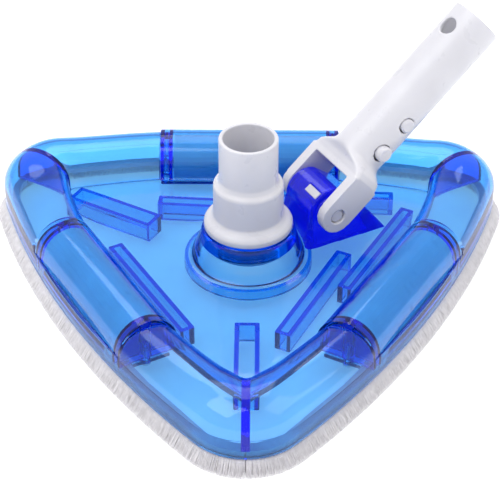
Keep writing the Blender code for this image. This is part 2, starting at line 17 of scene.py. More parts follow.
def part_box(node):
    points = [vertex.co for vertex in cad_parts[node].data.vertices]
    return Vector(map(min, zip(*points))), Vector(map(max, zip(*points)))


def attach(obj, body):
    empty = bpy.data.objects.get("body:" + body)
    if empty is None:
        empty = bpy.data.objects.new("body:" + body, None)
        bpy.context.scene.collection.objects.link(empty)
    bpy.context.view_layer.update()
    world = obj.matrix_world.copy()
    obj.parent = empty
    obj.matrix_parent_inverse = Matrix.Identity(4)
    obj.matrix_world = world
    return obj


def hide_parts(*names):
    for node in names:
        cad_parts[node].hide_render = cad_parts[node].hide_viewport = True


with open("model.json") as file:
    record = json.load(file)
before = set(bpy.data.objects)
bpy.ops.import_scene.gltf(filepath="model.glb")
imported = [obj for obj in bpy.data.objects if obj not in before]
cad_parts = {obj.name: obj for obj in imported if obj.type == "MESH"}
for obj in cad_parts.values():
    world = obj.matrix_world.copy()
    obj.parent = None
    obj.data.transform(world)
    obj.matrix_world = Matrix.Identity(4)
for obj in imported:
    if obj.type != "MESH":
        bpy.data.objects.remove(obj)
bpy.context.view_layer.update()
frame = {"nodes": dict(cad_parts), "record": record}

MM = 0.001
SIDES = {"left": 210, "right": -30, "rear": 90}  # direction in degrees that each side faces
CORNERS = (30, 150, 270)

RECORD = frame["record"]
JOINTS = {joint["name"]: joint for joint in RECORD["behaviour"]["joints"]}
MOUNTS = {mount["name"]: mount for mount in RECORD["mounts"]}
HOSE_AXIS = Vector(JOINTS["connector_swivel"]["pos_m"][:2])
PIN = Vector(JOINTS["handle_pitch"]["pos_m"])
PIN_AXIS = Vector(JOINTS["handle_pitch"]["axis"]).normalized()
HANDLE_ALONG = Vector(MOUNTS["pole_end"]["axis"]).normalized()

# The moulded body, as the CAD has it.
CORNER_RADIUS, CORNER_CENTRE, SIDE_RADIUS = 33.6 * MM, 124.4 * MM, 534.8 * MM
DECK_SIDE, DECK_BEND, DECK_CORNER = 75 * MM, 380 * MM, 119.7 * MM
WALL, SKIRT_BOTTOM, DECK_TOP, ARCH_FOOT = 2.4 * MM, 8 * MM, 16 * MM, 20 * MM
RIM_RISE, RIM_LENGTH = 0.43, 50.6 * MM  # the rim's height over its width, and its run past a bulge
BULGE_CENTRE, BULGE_RADIUS, BULGE_HALF = 87.8 * MM, 16.8 * MM, 52 * MM
BOSS_BASE, BOSS_TOP, BOSS_HEIGHT, THROAT = 30.3 * MM, 25 * MM, 34 * MM, 20.6 * MM
NECK_FILLET, SEAT_DEPTH = 4 * MM, 8 * MM  # where the neck meets the deck, and the connector's seat

# Under the deck. A rib runs from (n, t) to (n, t) in its side's coordinates, in mm, with a width.
RIB_BOTTOM, RIB_CORNER = 3 * MM, 0.8 * MM
LEFT_RIB = ((60.5, -43), (60.5, 43), 8.5)
CORNER_RIB = ((61, 0), (116, 0), 13)
GUSSET_RADIUS, GUSSET_RISE, GUSSET_FOOT = 17.6 * MM, 15.2 * MM, 8 * MM
GUSSET_PLACE, GUSSET_HALF = 138.9 * MM, 2.1 * MM
WEIGHT_WALL_RADIUS, WEIGHT_WALL_FOOT, WEIGHT_WALL_HALF = 15.4 * MM, 7 * MM, 1 * MM
WEIGHT_WALLS = (50.8 * MM, 45.8 * MM)
SCREW_PLACE = 48.3 * MM
THROAT_RING = [(32.6 * MM, 8 * MM), (34.8 * MM, 8 * MM), (34.8 * MM, 15.2 * MM), (32.6 * MM, 15.2 * MM)]

# The brush: strands in rows, fanned outwards.
ROWS, STRAND_PITCH, STRAND_RADIUS, SEAM = 6, 0.4 * MM, 0.24 * MM, 0.12 * MM
ROOT_HEIGHT, ROOT_START, ROOT_STEP = 7.6 * MM, -6.6 * MM, 1.15 * MM
TIP_HEIGHT, TIP_START, TIP_STEP = 0.05 * MM, -2 * MM, 1.33 * MM
STRAND_LEAN, STRAND_BOW = 0.35 * MM, 0.4 * MM

# The handle and its lug.
LEG_INNER, LEG_OUTER, LEG_HALF = 16 * MM, 22 * MM, 10 * MM
YOKE_START, YOKE_END = 19.5 * MM, 25.5 * MM
TUBE_START, TUBE_END, TUBE_RADIUS, TUBE_BORE = 33 * MM, 130.7 * MM, 14.75 * MM, 12.25 * MM
FORK_CORNER, YOKE_CORNER, YOKE_TAPER, YOKE_SWELL = 3 * MM, 4 * MM, 0.8 * MM, 0.6 * MM
CROSS_HOLE, CROSS_HOLE_PLACE = 5 * MM, 117 * MM
BUTTON_HOLES = ((4.9 * MM, 42 * MM), (4.9 * MM, 41.3 * MM), (4.4 * MM, 62 * MM), (4.4 * MM, 61.5 * MM))
PIN_RADIUS = 4 * MM
LUG_HALF, LUG_HEAD, LUG_NEAR, LUG_TIP = 13 * MM, 12.5 * MM, 26.8 * MM, 78 * MM
LUG_SHOULDER, LUG_FOOT_NEAR, LUG_FOOT_TIP, LUG_WALL = (17.2 * MM, 2 * MM), 16 * MM, 17.6 * MM, 2.5 * MM
PAD_RADIUS = 8 * MM
KEY_LENGTH, KEY_WIDTH, KEY_MIDDLE, KEY_ANGLE = 10.8 * MM, 4.2 * MM, -6.3 * MM, math.radians(125)
KEY_SLOT_START, KEY_SLOT_END = 3 * MM, 16 * MM
THROUGH = 30 * MM  # how far a cut across the handle or the lug goes each way
GAP = 0.3 * MM

# The camera looks down at the front corner, from a little under 0.6 m up.
CAMERA_HEIGHT_ANGLE, CAMERA_TURN, CAMERA_ROLL = math.radians(35.62), math.radians(0.4), math.radians(0.15)
CAMERA_DISTANCE, CAMERA_TARGET, CAMERA_LENS, CAMERA_SHIFT = 0.95405, 30 * MM, 125.94, (0.00346, -0.0212)


# ---------------------------------------------------------------- meshes

def finished(name, bm, place=None, smooth_angle=35):
    """A new object from bm, smooth-shaded, with edges sharper than smooth_angle kept crisp."""
    bmesh.ops.recalc_face_normals(bm, faces=bm.faces)
    mesh = bpy.data.meshes.new(name)
    bm.to_mesh(mesh)
    bm.free()
    made = bpy.data.objects.new(name, mesh)
    if place is not None:
        made.matrix_world = place
    bpy.context.scene.collection.objects.link(made)
    shade(made, smooth_angle)
    return made


def shade(obj, smooth_angle=35):
    obj.data.polygons.foreach_set("use_smooth", [True] * len(obj.data.polygons))
    obj.data.set_sharp_from_angle(angle=math.radians(smooth_angle))
    obj.data.update()


def freeze(obj):
    """Puts the result of the object's modifiers in its mesh."""
    graph = bpy.context.evaluated_depsgraph_get()
    mesh = bpy.data.meshes.new_from_object(obj.evaluated_get(graph))
    obj.modifiers.clear()
    old, obj.data = obj.data, mesh
    bpy.data.meshes.remove(old)


def join_mesh(obj, others, operation, solver="EXACT"):
    """Adds or cuts each of the other objects with Booleans, and removes them.

    With the exact solver, faces that come from another object keep its material.
    """
    for other in others:
        step = obj.modifiers.new("join", "BOOLEAN")
        step.operation, step.solver, step.object = operation, solver, other
        if solver == "EXACT":
            step.material_mode = "TRANSFER"
    freeze(obj)
    for other in others:
        bpy.data.objects.remove(other, do_unlink=True)


def arc(centre, radius, start, end, count):
    """Points on a circle from one angle to another, in degrees."""
    angles = [math.radians(start + (end - start) * i / count) for i in range(count + 1)]
    return [(centre[0] + radius * math.cos(a), centre[1] + radius * math.sin(a)) for a in angles]


def skin(bm, rings, closed=False):
    """Faces over a row of rings with the same number of points, capped unless the row is closed."""
    made = [[bm.verts.new(point) for point in ring] for ring in rings]
    count = len(rings[0])
    for i in range(len(made) if closed else len(made) - 1):
        one, two = made[i], made[(i + 1) % len(made)]
        for k in range(count):
            bm.faces.new((one[k], one[(k + 1) % count], two[(k + 1) % count], two[k]))
    if not closed:
        bm.faces.new(made[0])
        bm.faces.new(reversed(made[-1]))


def add_box(bm, size, place):
    bmesh.ops.create_cube(bm, size=1, matrix=place @ Matrix.Diagonal((*size, 1)))


def add_rod(bm, radius, start, end, place, segments):
    middle = Matrix.Translation((0, 0, (start + end) / 2))
    bmesh.ops.create_cone(bm, cap_ends=True, segments=segments, radius1=radius, radius2=radius,
                          depth=abs(end - start), matrix=place @ middle)


def rod(name, radius, start, end, place, segments=64):
    """A round bar along the Z axis of place, as an object of its own."""
    bm = bmesh.new()
    add_rod(bm, radius, start, end, place, segments)
    return finished(name, bm)


def add_prism(bm, outline, low, high, place):
    """A flat outline in the XY plane, from low to high along Z."""
    rings = [[place @ Vector((x, y, z)) for x, y in outline] for z in (low, high)]
    skin(bm, rings)


def turned(name, profile, steps):
    """A closed profile of (radius, height) points turned around the hose axis."""
    bm = bmesh.new()
    turns = [2 * math.pi * i / steps for i in range(steps)]
    rings = [[(r * math.cos(a), r * math.sin(a), z) for r, z in profile] for a in turns]
    skin(bm, rings, closed=True)
    return finished(name, bm, Matrix.Translation((*HOSE_AXIS, 0)), 30)


def softened(profile, radius, steps):
    """The closed profile with each of its corners rounded off."""
    out = []
    count = len(profile)
    for i, point in enumerate(profile):
        here = Vector(point)
        before, after = Vector(profile[i - 1]), Vector(profile[(i + 1) % count])
        reach = min(radius, (before - here).length * 0.45, (after - here).length * 0.45)
        a = here + (before - here).normalized() * reach
        b = here + (after - here).normalized() * reach
        for k in range(steps + 1):
            f = k / steps
            out.append(tuple(a * (1 - f) ** 2 + here * 2 * f * (1 - f) + b * f * f))
    return out


# ---------------------------------------------------------------- materials

def shader_tree(name):
    made = bpy.data.materials.new(name)
    made.use_nodes = True
    tree = made.node_tree
    return made, tree, tree.nodes["Principled BSDF"]


def noise(tree, scale, detail, stretch=(1, 1, 1)):
    """A noise texture in the object's own coordinates."""
    place = tree.nodes.new("ShaderNodeTexCoord")
    size = tree.nodes.new("ShaderNodeMapping")
    size.inputs["Scale"].default_value = stretch
    made = tree.nodes.new("ShaderNodeTexNoise")
    made.inputs["Scale"].default_value = scale
    made.inputs["Detail"].default_value = detail
    tree.links.new(place.outputs["Object"], size.inputs["Vector"])
    tree.links.new(size.outputs["Vector"], made.inputs["Vector"])
    return made.outputs["Fac"]


def between(tree, factor, low, high):
    """A number that runs from low to high with a factor."""
    made = tree.nodes.new("ShaderNodeMapRange")
    made.inputs["From Min"].default_value, made.inputs["From Max"].default_value = 0.3, 0.7
    made.inputs["To Min"].default_value, made.inputs["To Max"].default_value = low, high
    tree.links.new(factor, made.inputs["Value"])
    return made.outputs["Result"]


def mottled(tree, factor, one, two):
    """A colour that drifts between two near tints."""
    ramp = tree.nodes.new("ShaderNodeValToRGB")
    ramp.color_ramp.elements[0].position, ramp.color_ramp.elements[1].position = 0.35, 0.65
    ramp.color_ramp.elements[0].color, ramp.color_ramp.elements[1].color = (*one, 1), (*two, 1)
    tree.links.new(factor, ramp.inputs["Fac"])
    return ramp.outputs["Color"]


def bump(tree, shader, layers):
    """Stacks (height, distance, strength) bumps on a shader's normal."""
    normal = None
    for height, distance, strength in layers:
        made = tree.nodes.new("ShaderNodeBump")
        made.inputs["Distance"].default_value = distance
        made.inputs["Strength"].default_value = strength
        tree.links.new(height, made.inputs["Height"])
        if normal is not None:
            tree.links.new(normal, made.inputs["Normal"])
        normal = made.outputs["Normal"]
    tree.links.new(normal, shader.inputs["Normal"])


def clear_plastic(name, tint, painted_shade_tint, absorbed, density, painted_glow, strength, roughness, clear):
    """Tinted clear plastic: light loses colour at its surface and more along its way inside.

    The mesh's own face attribute for this, where it has one, turns the surface's tint to a darker blue:
    painted shade.
    A weak painted glow, an emission the plastic itself lacks, keeps the thick places blue and not grey.
    """
    made, tree, shader = shader_tree(name)
    drift = noise(tree, 35, 3)
    darker = tuple(c * 0.94 for c in tint)
    # Painted shade: a face attribute mixes in the darker tint.
    painted_shade = tree.nodes.new("ShaderNodeAttribute")
    painted_shade.attribute_name = "painted_shade"
    mix = tree.nodes.new("ShaderNodeMixRGB")
    tree.links.new(painted_shade.outputs["Fac"], mix.inputs["Fac"])
    tree.links.new(mottled(tree, drift, darker, tint), mix.inputs["Color1"])
    mix.inputs["Color2"].default_value = (*painted_shade_tint, 1)
    tree.links.new(mix.outputs["Color"], shader.inputs["Base Color"])
    tree.links.new(between(tree, noise(tree, 260, 5), *roughness), shader.inputs["Roughness"])
    shader.inputs["Transmission Weight"].default_value = clear
    shader.inputs["IOR"].default_value = 1.45
    # Painted glow: a weak blue emission, at the given strength.
    shader.inputs["Emission Color"].default_value = (*painted_glow, 1)
    shader.inputs["Emission Strength"].default_value = strength
    bump(tree, shader, ((noise(tree, 28, 2), 0.4 * MM, 0.25), (noise(tree, 900, 4), 0.01 * MM, 0.3)))
    inside = tree.nodes.new("ShaderNodeVolumeAbsorption")
    inside.inputs["Color"].default_value = (*absorbed, 1)
    inside.inputs["Density"].default_value = density
    output = tree.nodes["Material Output"]
    tree.links.new(inside.outputs["Volume"], output.inputs["Volume"])
    return made


def white_plastic(name, light=(0.665, 0.66, 0.705), dark=(0.625, 0.62, 0.665)):
    """Opaque moulded plastic with flow marks, a fine eroded grain and a few dull spots."""
    made, tree, shader = shader_tree(name)
    tree.links.new(mottled(tree, noise(tree, 45, 4), dark, light), shader.inputs["Base Color"])
    tree.links.new(between(tree, noise(tree, 120, 6), 0.24, 0.42), shader.inputs["Roughness"])
    shader.inputs["Subsurface Weight"].default_value = 0.12
    shader.inputs["Subsurface Radius"].default_value = (0.004, 0.004, 0.005)
    shader.inputs["Subsurface Scale"].default_value = 0.5
    shader.inputs["IOR"].default_value = 1.5
    bump(tree, shader, ((noise(tree, 60, 2), 0.15 * MM, 0.2), (noise(tree, 2600, 3), 0.012 * MM, 0.5)))
    return made


def bristle_nylon(name):
    made, tree, shader = shader_tree(name)
    along = noise(tree, 700, 3, stretch=(1, 1, 0.1))
    tree.links.new(mottled(tree, along, (0.80, 0.78, 0.81), (0.93, 0.91, 0.94)),
                   shader.inputs["Base Color"])
    shader.inputs["Roughness"].default_value = 0.42
    shader.inputs["Transmission Weight"].default_value = 0.25
    bump(tree, shader, ((noise(tree, 1800, 2), 0.02 * MM, 0.3),))
    return made


def metal(name, light, dark, roughness, grain):
    """Metal with a drawn or cast grain."""
    made, tree, shader = shader_tree(name)
    tree.links.new(mottled(tree, noise(tree, 90, 5), dark, light), shader.inputs["Base Color"])
    tree.links.new(between(tree, noise(tree, 400, 6, stretch=grain), *roughness),
                   shader.inputs["Roughness"])
    shader.inputs["Metallic"].default_value = 1
    bump(tree, shader, ((noise(tree, 900, 5, stretch=grain), 0.03 * MM, 0.5),))
    return made


def seal_rubber(name):
    made, tree, shader = shader_tree(name)
    tree.links.new(mottled(tree, noise(tree, 200, 4), (0.02, 0.02, 0.022), (0.05, 0.05, 0.052)),
                   shader.inputs["Base Color"])
    shader.inputs["Roughness"].default_value = 0.6
    bump(tree, shader, ((noise(tree, 1500, 4), 0.02 * MM, 0.6),))
    return made


# Both blue plastics carry a weak painted glow.
CLEAR_BLUE = clear_plastic(
    "clear_blue", tint=(0.84, 0.97, 1.0), painted_shade_tint=(0.20, 0.36, 1.0), absorbed=(0.0, 0.66, 0.98),
    density=450, painted_glow=(0.0, 0.13, 1.0), strength=0.016, roughness=(0.03, 0.08), clear=1)
DEEP_BLUE = clear_plastic(
    "deep_blue", tint=(0.030, 0.036, 0.90), painted_shade_tint=(0.030, 0.036, 0.90), absorbed=(0.0, 0.04, 0.97),
    density=500, painted_glow=(0.0, 0.02, 1.0), strength=0.1, roughness=(0.05, 0.12), clear=0.8)
WHITE = white_plastic("white_plastic")
NYLON = bristle_nylon("bristle_nylon")
WEIGHT = white_plastic("weight_coating", (0.88, 0.93, 0.98), (0.82, 0.88, 0.95))
STEEL = metal("stainless", (0.72, 0.72, 0.74), (0.55, 0.55, 0.58), (0.2, 0.4), (1, 1, 12))
RUBBER = seal_rubber("seal_rubber")


def dress(obj, material):
    obj.data.materials.clear()
    obj.data.materials.append(material)


def piece(obj, material, body, slot_name, *nodes):
    """Gives a new piece its material and body, in place of the CAD nodes it stands for."""
    dress(obj, material)
    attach(obj, body)
    if nodes:
        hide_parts(*nodes)


# ---------------------------------------------------------------- body

def side_point(facing, n, t):
    """A place in side coordinates, as a plan position."""
    a = math.radians(facing)
    return HOSE_AXIS + Vector((n * math.cos(a) - t * math.sin(a), n * math.sin(a) + t * math.cos(a)))


def side_arc_centre():
    """How far out the centre of a side's long arc is, so that it runs on into the corners' arcs."""
    half = CORNER_CENTRE * math.sin(math.radians(60))
    reach = SIDE_RADIUS - CORNER_RADIUS
    return CORNER_CENTRE / 2 - math.sqrt(reach * reach - half * half)


CORNER_WAY = Vector((0.5, math.sqrt(0.75)))  # from the hose axis to a corner, in side coordinates
SIDE_ARC = Vector((side_arc_centre(), 0))
SIDE_TURN = math.atan2(CORNER_CENTRE * CORNER_WAY.y, CORNER_CENTRE * CORNER_WAY.x - SIDE_ARC.x)


def outline_hit(start, angle):
    """Where a ray in side coordinates, from start with t > 0, meets the body's outline."""
    along = Vector((math.cos(angle), math.sin(angle)))
    for centre, radius in ((SIDE_ARC, SIDE_RADIUS), (CORNER_CENTRE * CORNER_WAY, CORNER_RADIUS)):
        offset = start - centre
        b = offset.dot(along)
        hit = offset + along * (math.sqrt(b * b - offset.dot(offset) + radius * radius) - b)
        if centre.y > 0 or math.atan2(hit.y, hit.x) < SIDE_TURN:
            return centre + hit
    return centre + hit


def bulge_section(t):
    """The half-round bulge, as (inner foot, outer foot, width, rise)."""
    inner = Vector((BULGE_CENTRE - BULGE_RADIUS, t))
    outline = outline_hit(Vector((inner.x, abs(t))), 0)
    return inner, Vector((outline.x, t)), 2 * BULGE_RADIUS, BULGE_RADIUS


def rim_section(step, mirror=1):
    """The rim, from step 0 at the bulge's end to 1 at the corner."""
    if step >= 1:
        inner, outline = CORNER_WAY * DECK_CORNER, CORNER_WAY * (CORNER_CENTRE + CORNER_RADIUS)
    else:
        t = BULGE_HALF + 0.4 * MM + RIM_LENGTH * step
        inner = Vector((DECK_SIDE - t * t / (2 * DECK_BEND), t))
        outline = outline_hit(inner, math.radians(60) * step ** 3)
    width = (outline - inner).length
    flip = Vector((1, mirror))
    return inner * flip, outline * flip, width, RIM_RISE * width


ARCH_STEPS = 26


def shell_ring(facing, section, hollow):
    """One closed wall section, from the skirt over the arch and deck to the throat and back."""
    inner, outline, width, rise = section
    _, _, hollow_width, hollow_rise = hollow
    out = (outline - inner).normalized()
    reach = (outline - inner).length
    heading = (side_point(facing, inner.x, inner.y) - HOSE_AXIS).normalized()

    def at(distance, z):
        p = inner + out * distance
        p = side_point(facing, p.x, p.y)
        return (p.x, p.y, z)

    def neck(radius, z):
        p = HOSE_AXIS + heading * radius
        return (p.x, p.y, z)

    ring = [at(reach - 0.5 * MM, SKIRT_BOTTOM), at(reach, SKIRT_BOTTOM + 0.5 * MM),
            at(reach, ARCH_FOOT - 0.6 * MM), at(reach - 0.15 * MM, ARCH_FOOT - 0.1 * MM)]
    for i in range(ARCH_STEPS + 1):
        a = math.pi * i / ARCH_STEPS
        ring.append(at(width / 2 * (1 + math.cos(a)), ARCH_FOOT + rise * math.sin(a)))
    fillet = 1.6 * MM
    for i in range(1, 5):
        a = math.pi / 2 * i / 4
        ring.append(at(-fillet * (1 - math.cos(a)), DECK_TOP + fillet * (1 - math.sin(a))))
    for share in (1 / 8, 1 / 3, 3 / 4):
        start, end = Vector(ring[-1]), Vector(neck(BOSS_BASE + NECK_FILLET, DECK_TOP))
        ring.append(tuple(start.lerp(end, share)))
    neck_foot = BOSS_BASE - 0.4 * MM
    for i in range(5):
        a = math.pi / 2 * i / 4
        ring.append(neck(neck_foot + NECK_FILLET * (1 - math.sin(a)),
                         DECK_TOP + NECK_FILLET * (1 - math.cos(a))))
    neck_rise = BOSS_HEIGHT - DECK_TOP - NECK_FILLET - 0.5 * MM
    for i in range(1, 7):
        h = i / 6
        ring.append(neck(neck_foot - (neck_foot - BOSS_TOP) * h ** 0.8,
                         DECK_TOP + NECK_FILLET + neck_rise * h))
    seat = BOSS_HEIGHT - SEAT_DEPTH
    ring += [neck(BOSS_TOP - 0.5 * MM, BOSS_HEIGHT), neck(THROAT, BOSS_HEIGHT),
             neck(THROAT, seat), neck(BOSS_BASE - 5.6 * MM, seat),
             neck(BOSS_BASE - 3.4 * MM, DECK_TOP + 3 * MM), neck(BOSS_BASE - 2 * MM, DECK_TOP - WALL),
             at(WALL, DECK_TOP - WALL)]
    for i in range(ARCH_STEPS // 2 + 1):
        a = math.pi * (1 - 2 * i / ARCH_STEPS)
        ring.append(at(hollow_width / 2 + (hollow_width / 2 - WALL) * math.cos(a),
                       ARCH_FOOT + (hollow_rise - WALL) * math.sin(a)))
    ring += [at(reach - WALL, ARCH_FOOT - WALL), at(reach - WALL, SKIRT_BOTTOM)]
    return ring


def shell_rings():
    """Wall sections all the way round. Outside and hollow differ where a bulge has its end walls."""
    rim_steps = [1 - (1 - i / 22) ** 1.25 for i in range(22)]
    bulge_ts = [-52, -49.7, *range(-48, 49, 6), 49.7, 52]
    rings = []
    for facing in sorted(SIDES.values()):
        stations = [(rim_section(step, -1),) * 2 for step in reversed(rim_steps)]
        for t in bulge_ts:
            section = bulge_section(t * MM)
            stations.append((section, section if abs(t) < 50 else rim_section(0)))
        stations += [(rim_section(step),) * 2 for step in (*rim_steps, 1)]
        rings += [shell_ring(facing, section, hollow) for section, hollow in stations]
    return rings


def half_round(radius, rise, foot):
    """An arch's outline with straight feet, with its origin between the feet's tops."""
    return [(radius, -foot), *[(x * radius, y * rise) for x, y in arc((0, 0), 1, 0, 180, 24)],
            (-radius, -foot)]


def standing(facing, n, t):
    """Places a flat outline upright, across t, with its origin at the arches' foot."""
    p = side_point(facing, n, t)
    return (Matrix.Translation((p.x, p.y, ARCH_FOOT)) @ Matrix.Rotation(math.radians(facing), 4, "Z")
            @ Matrix.Rotation(math.pi / 2, 4, "X"))


def channels(inset, low, high):
    """The ribs under the deck, or with an inset the room inside each, from low to high."""
    bm = bmesh.new()
    places = [(SIDES["left"], *LEFT_RIB)]
    for side, sign in (("right", 1), ("rear", -1)):
        places.append((SIDES[side], (45, 28 * sign), (51, -52 * sign), 9))
        places.append((SIDES[side], (60, -1 * sign), (56.5, 83 * sign), 8))
    places += [(corner, *CORNER_RIB) for corner in (-90, 150)]
    for facing, start, end, width in places:
        a, b = (side_point(facing, n * MM, t * MM) for n, t in (start, end))
        middle = (a + b) / 2
        place = (Matrix.Translation((middle.x, middle.y, 0))
                 @ Matrix.Rotation(math.atan2(b.y - a.y, b.x - a.x), 4, "Z"))
        half_length, half_width = (b - a).length / 2 - inset, width * MM / 2 - inset
        outline = rounded(half_length, half_width, RIB_CORNER)
        add_prism(bm, outline, low, high, place)
    return finished("channels", bm)


def under_deck():
    """Corner gussets and weight walls, as separate closed shapes."""
    bm = bmesh.new()
    gusset = half_round(GUSSET_RADIUS, GUSSET_RISE, GUSSET_FOOT)
    for corner in CORNERS:
        add_prism(bm, gusset, -GUSSET_HALF, GUSSET_HALF, standing(corner, GUSSET_PLACE, 0))
    wall = half_round(WEIGHT_WALL_RADIUS, WEIGHT_WALL_RADIUS, WEIGHT_WALL_FOOT)
    for facing in SIDES.values():
        for end in (-1, 1):
            for t in WEIGHT_WALLS:
                place = standing(facing, BULGE_CENTRE, t * end)
                add_prism(bm, wall, -WEIGHT_WALL_HALF, WEIGHT_WALL_HALF, place)
    return finished("under_deck", bm)


def at_screws(name, radius, low, high):
    """An upright bar at each cover screw, from low to high."""
    bm = bmesh.new()
    for facing in SIDES.values():
        for end in (-1, 1):
            p = side_point(facing, BULGE_CENTRE, SCREW_PLACE * end)
            add_rod(bm, radius, low, high, Matrix.Translation((p.x, p.y, 0)), 24)
    return finished(name, bm)


def body():
    """The clear moulding. The walls under the deck, seen along their length, get a darker blue painted on
    them: painted shade.
    """
    bm = bmesh.new()
    skin(bm, shell_rings(), closed=True)
    bmesh.ops.triangulate(bm, faces=bm.faces)
    shell = finished("clear_body", bm)
    dress(shell, CLEAR_BLUE)
    walls, ribs = under_deck(), channels(0, RIB_BOTTOM, DECK_TOP - 0.6 * MM)
    # The deep blue only marks these wall faces for the painted shade; in the end they take clear blue.
    dress(walls, DEEP_BLUE)
    bosses = at_screws("screw_bosses", 3.2 * MM, 12 * MM, 35 * MM)
    join_mesh(shell, [ribs, walls, turned("throat_ring", THROAT_RING, 72), bosses], "UNION")
    rooms = channels(WALL, RIB_BOTTOM - 1 * MM, DECK_TOP - WALL)
    join_mesh(shell, [rooms, at_screws("pilot_holes", 1.7 * MM, 6 * MM, 22 * MM)], "DIFFERENCE")
    # Painted shade: faces from the walls get the darker blue through a face attribute, then all faces take
    # clear blue.
    slots = [slot.material for slot in shell.material_slots]
    painted_shade_mark = shell.data.attributes.new("painted_shade", "FLOAT", "FACE")
    for face, value in zip(shell.data.polygons, painted_shade_mark.data):
        value.value = float(slots[face.material_index] == DEEP_BLUE)
        face.material_index = 0
    shade(shell, 30)
    piece(shell, CLEAR_BLUE, "head", "clear_blue", "body_shell")


# ---------------------------------------------------------------- brush

def bristle_strands(side, facing, rng):
    """Nylon strands in staggered rows, fanned outwards, in place of one side's solid brush."""
    bm = bmesh.new()
    corner_turn = math.radians(60) - SIDE_TURN - SEAM / CORNER_RADIUS
    side_run, corner_run = 2 * SIDE_TURN * SIDE_RADIUS, corner_turn * CORNER_RADIUS
    for row in range(ROWS):
        for i in range(int((side_run + 2 * corner_run) / STRAND_PITCH)):
            run = (i + (row % 2) / 2 + rng.uniform(-0.2, 0.2)) * STRAND_PITCH
            if run < corner_run:
                end_of_side, radius = -1, CORNER_RADIUS
                angle = -SIDE_TURN - corner_turn + run / CORNER_RADIUS
            elif run < corner_run + side_run:
                end_of_side, radius = 0, SIDE_RADIUS
                angle = -SIDE_TURN + (run - corner_run) / SIDE_RADIUS
            else:
                end_of_side, radius = 1, CORNER_RADIUS
                angle = SIDE_TURN + min((run - corner_run - side_run) / CORNER_RADIUS, corner_turn)
            corner = CORNER_CENTRE * Vector((CORNER_WAY.x, end_of_side * CORNER_WAY.y))
            middle = corner if end_of_side else SIDE_ARC
            way = Vector((math.cos(angle), math.sin(angle)))
            base = middle + way * (radius + ROOT_START + ROOT_STEP * row)
            spread = TIP_START + TIP_STEP * row + rng.uniform(-0.2, 0.05) * MM
            lean = rng.uniform(-STRAND_LEAN, STRAND_LEAN)
            end = middle + way * (radius + spread) + Vector((-way.y, way.x)) * lean
            base, end = side_point(facing, *base), side_point(facing, *end)
            add_strand(bm, Vector((*base, ROOT_HEIGHT)), Vector((*end, TIP_HEIGHT)))
    return finished(f"bristle_strands_{side}", bm, smooth_angle=80)


def add_strand(bm, root, tip):
    """One three-sided strand that bows a little on its way down."""
    rings = []
    for f, width in ((0, 1), (0.5, 1), (1, 0.75)):
        centre = root.lerp(tip, f)
        centre.z += STRAND_BOW * math.sin(math.pi * f)
        rings.append([centre + Vector((math.cos(a), math.sin(a), 0)) * STRAND_RADIUS * width
                      for a in (0.5, 0.5 + 2 * math.pi / 3, 0.5 + 4 * math.pi / 3)])
    skin(bm, rings)


def brush():
    rng = random.Random(7)
    for side, facing in SIDES.items():
        strands = bristle_strands(side, facing, rng)
        piece(strands, NYLON, "head", "bristle", f"bristles_{side}")


# ---------------------------------------------------------------- connector

def connector():
    """The stepped hose connector. Below its flange a spigot goes down the neck, with two grooves."""
    base, top = BOSS_HEIGHT + 0.7 * MM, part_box("hose_connector")[1].z
    step, small, large = 62 * MM, 15.875 * MM, 19.05 * MM
    bore, wide_bore, spigot, flange = 13.6 * MM, 16.6 * MM, 20.1 * MM, 24.2 * MM
    profile = [(bore, top), (small, top), (small, step + 3.6 * MM), (small + 0.9 * MM, step + 1 * MM),
               (large - 0.5 * MM, step), (large, step - 1.4 * MM), (large, base + 8 * MM),
               (large + 1.6 * MM, base + 6.2 * MM), (flange - 1.6 * MM, base + 5.2 * MM),
               (flange, base + 3.2 * MM), (flange, base + 0.6 * MM), (flange - 0.7 * MM, base),
               (spigot, base), (spigot, 31.4 * MM), (18.6 * MM, 31.4 * MM), (18.6 * MM, 29 * MM),
               (spigot, 29 * MM), (spigot, 25.4 * MM), (18.5 * MM, 25.4 * MM), (18.5 * MM, 23.4 * MM),
               (spigot, 23.4 * MM), (spigot - 0.6 * MM, 20 * MM), (wide_bore, 20 * MM),
               (wide_bore, step - 5 * MM), (bore, step)]
    made = turned("connector_body", softened(profile, 0.9 * MM, 4), 128)
    piece(made, WHITE, "connector", "white_plastic", "hose_connector")


# ---------------------------------------------------------------- handle and lug

def handle_place():
    """X runs along the handle from the pin, Y across the fork towards the back."""
    across = -PIN_AXIS
    up = HANDLE_ALONG.cross(across)
    turn = Matrix((HANDLE_ALONG, across, up)).transposed().to_4x4()
    return Matrix.Translation(PIN) @ turn


def lug_place():
    """The same for the lug, with X level."""
    across = -PIN_AXIS
    out = across.cross(Vector((0, 0, 1)))
    turn = Matrix((out, across, (0, 0, 1))).transposed().to_4x4()
    return Matrix.Translation(PIN) @ turn


def remeshed(obj, voxel, smoothing):
    """Rounds every edge: fine voxels, then a smooth."""
    step = obj.modifiers.new("voxels", "REMESH")
    step.mode, step.voxel_size = "VOXEL", voxel
    step = obj.modifiers.new("soft", "SMOOTH")
    step.factor, step.iterations = 0.5, smoothing
    freeze(obj)
    shade(obj, 180)


def rounded(half_y, half_z, corner):
    """A rectangle with round corners."""
    points = []
    for number, (y, z) in enumerate(((1, 1), (-1, 1), (-1, -1), (1, -1))):
        centre = (y * (half_y - corner), z * (half_z - corner))
        points += arc(centre, corner, number * 90 + 0.5, number * 90 + 89.5, 15)
    return points


ALONG_X = Matrix.Rotation(math.pi / 2, 4, "Y")
ALONG_Y = Matrix.Rotation(-math.pi / 2, 4, "X")


